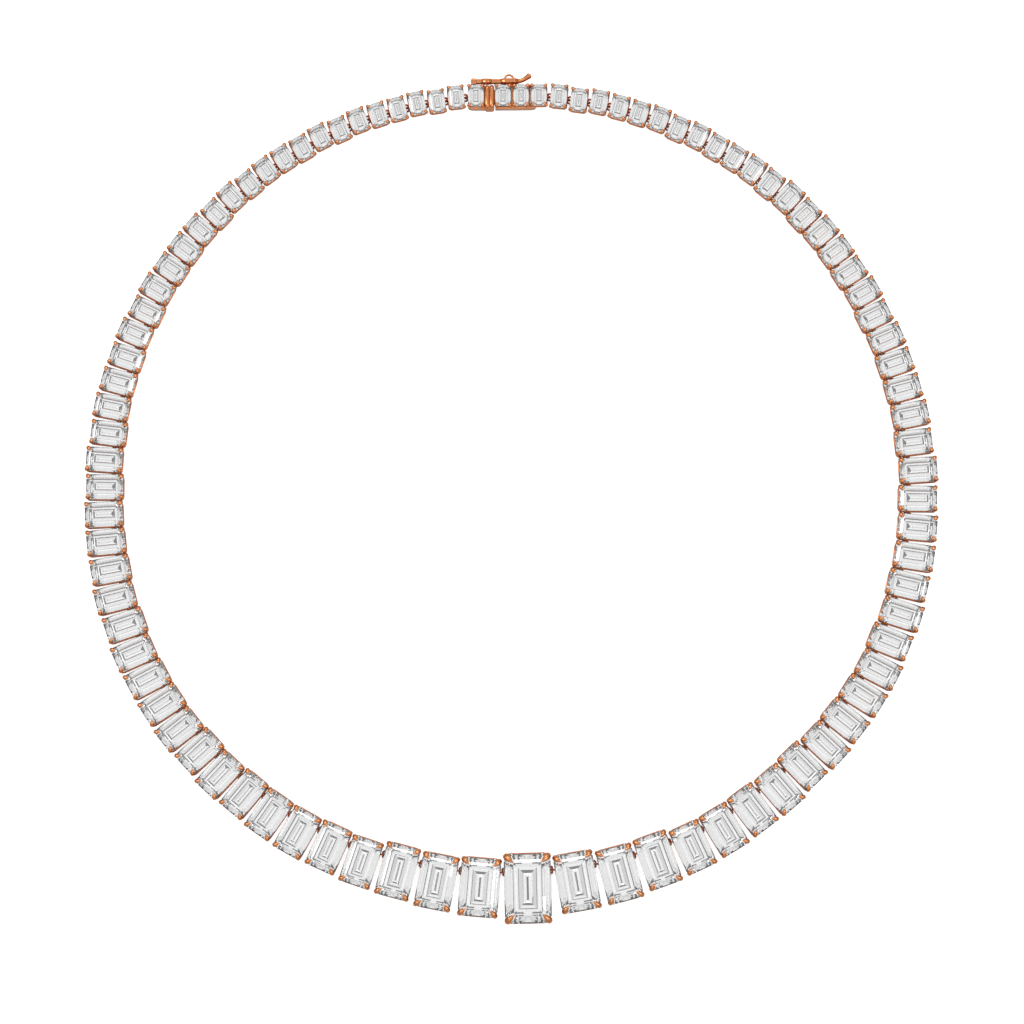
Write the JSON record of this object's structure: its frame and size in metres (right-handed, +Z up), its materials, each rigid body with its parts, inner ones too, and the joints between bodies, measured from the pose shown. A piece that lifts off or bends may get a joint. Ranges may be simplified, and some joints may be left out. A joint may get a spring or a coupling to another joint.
{
  "type": "riviere necklace",
  "caption": "Graded necklace of emerald-cut stones in four-prong settings joined by interlocking links, with a box clasp and a hinged safety latch.",
  "frame": {"origin": "middle of the necklace's plan box, on the surface it lies on", "axes": "+Z up, out of the stones' tables as the necklace lies face up; -Y towards the centre stone; +Y towards the clasp; +X to the right in the picture"},
  "size_m": [0.1362, 0.137, 0.0055],
  "materials": {
    "rose_gold": "polished rose gold",
    "diamond": "polished colourless step-cut stone"
  },
  "bodies": {
    "necklace": {"centre_stone": "diamond", "stones_right": "diamond", "stones_left": "diamond", "clasp_stones": "diamond", "centre_setting": "rose_gold", "settings_right": "rose_gold", "settings_left": "rose_gold", "clasp_box": "rose_gold", "clasp_tongue": "rose_gold"},
    "latch": {"safety_latch": "rose_gold"}
  },
  "joints": [
    {"name": "safety_latch_hinge", "type": "hinge", "parent": "necklace", "child": "latch", "pos_m": [-0.00612, 0.06689, 0.00115], "axis": [0, 0, 1], "range_deg": [0, 110]}
  ]
}
